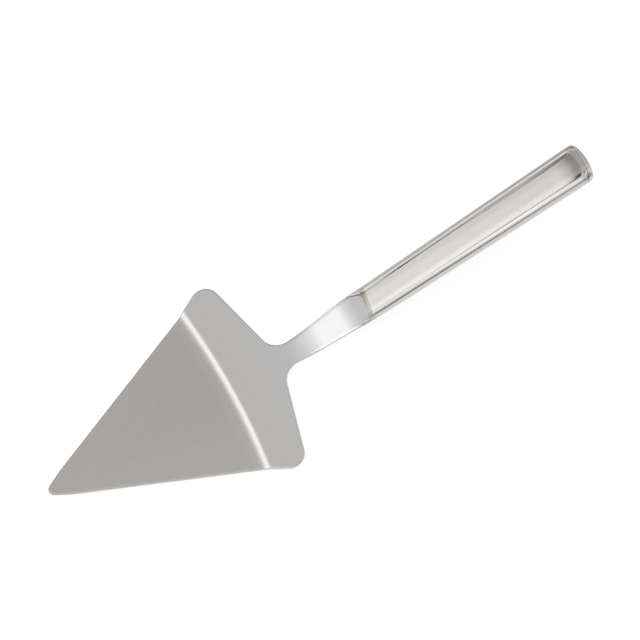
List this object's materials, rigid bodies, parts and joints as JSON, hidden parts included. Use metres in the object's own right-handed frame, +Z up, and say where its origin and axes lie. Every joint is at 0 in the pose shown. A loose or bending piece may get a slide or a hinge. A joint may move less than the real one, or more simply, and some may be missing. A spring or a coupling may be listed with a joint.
{
  "type": "pie server",
  "caption": "Pie server with a triangular stamped steel blade, a stepped heel with rounded ears, and a hollow steel handle with a recessed top panel.",
  "frame": {"origin": "bottom centre of the bounding box; the flat underside of the front plate lies on z = 0", "axes": "+X runs along the server from the blade's tip to the handle's end, +Y is its left side seen from above with the tip pointing away from the hand, +Z is up, square to the front plate"},
  "size_m": [0.3098, 0.1064, 0.0316],
  "materials": {
    "satin_steel": "fine satin stainless steel",
    "polished_steel": "polished stainless steel",
    "tinted_steel": "heat-tinted weld in stainless steel"
  },
  "bodies": {
    "root": {"blade": "satin_steel", "handle_top_shell": "polished_steel", "handle_bottom_shell": "polished_steel", "neck_weld": "tinted_steel"}
  },
  "joints": []
}
